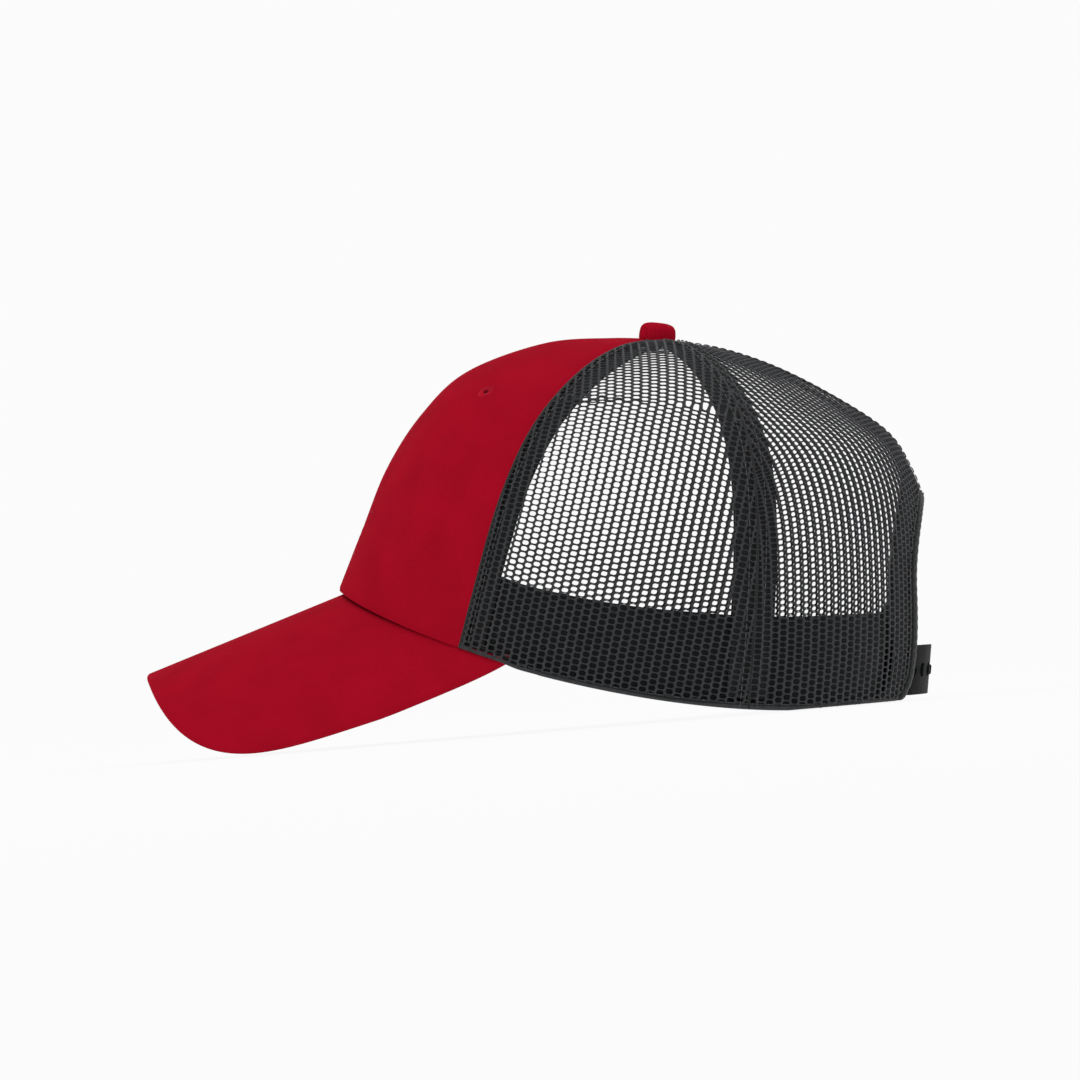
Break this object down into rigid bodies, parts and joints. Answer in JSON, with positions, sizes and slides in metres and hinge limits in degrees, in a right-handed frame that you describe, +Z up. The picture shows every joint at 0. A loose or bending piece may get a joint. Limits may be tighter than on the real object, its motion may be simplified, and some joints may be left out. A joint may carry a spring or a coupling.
{
  "type": "trucker mesh cap",
  "caption": "Baseball-style trucker cap with a plain twill front and curved visor, open mesh sides and back, and an adjustable snap strap under an arched opening.",
  "frame": {"origin": "middle of the cap's bounding box, on the table it rests on", "axes": "+Z up out of the crown, visor along -Y, back opening along +Y, +X towards the wearer's left"},
  "size_m": [0.1678, 0.2759, 0.1386],
  "materials": {
    "red_twill": "matt twill weave",
    "red_thread": "satin embroidery thread",
    "black_mesh": "open polyester knit mesh",
    "seam_tape": "plain woven tape",
    "binding_tape": "smooth folded tape",
    "sweatband_cloth": "brushed cotton",
    "buckram": "stiffened open weave",
    "board": "moulded sheet",
    "strap_plastic": "smooth, slightly glossy moulding",
    "rivet_metal": "plain"
  },
  "bodies": {
    "cap": {"arch_binding": "binding_tape", "back_seam_tape": "seam_tape", "buckram_left": "buckram", "buckram_right": "buckram", "button_cover": "red_twill", "button_rivet": "rivet_metal", "eyelet_left": "red_thread", "eyelet_right": "red_thread", "front_panel_left": "red_twill", "front_panel_right": "red_twill", "front_seam_tape": "seam_tape", "front_side_tape_left": "seam_tape", "front_side_tape_right": "seam_tape", "hole_strap_root": "strap_plastic", "peg_strap_root": "strap_plastic", "rear_mesh_left": "black_mesh", "rear_mesh_right": "black_mesh", "side_mesh_left": "black_mesh", "side_mesh_right": "black_mesh", "side_rear_tape_left": "seam_tape", "side_rear_tape_right": "seam_tape", "sweatband": "sweatband_cloth", "visor_board": "board", "visor_top_cover": "red_twill", "visor_under_cover": "red_twill"},
    "hole_strap": {"hole_strap": "strap_plastic"},
    "peg_strap": {"peg_strap": "strap_plastic"}
  },
  "joints": [
    {"name": "hole_strap_flex", "type": "hinge", "parent": "cap", "child": "hole_strap", "pos_m": [0.03045, 0.12644, 0.0016], "axis": [0, -0.1633, -0.9866], "range_deg": [0, 70], "stiffness_Nm_per_rad": 0.01},
    {"name": "peg_strap_flex", "type": "hinge", "parent": "cap", "child": "peg_strap", "pos_m": [-0.0294, 0.12425, 0.0016], "axis": [0, -0.1633, -0.9866], "range_deg": [0, 70], "stiffness_Nm_per_rad": 0.01}
  ]
}
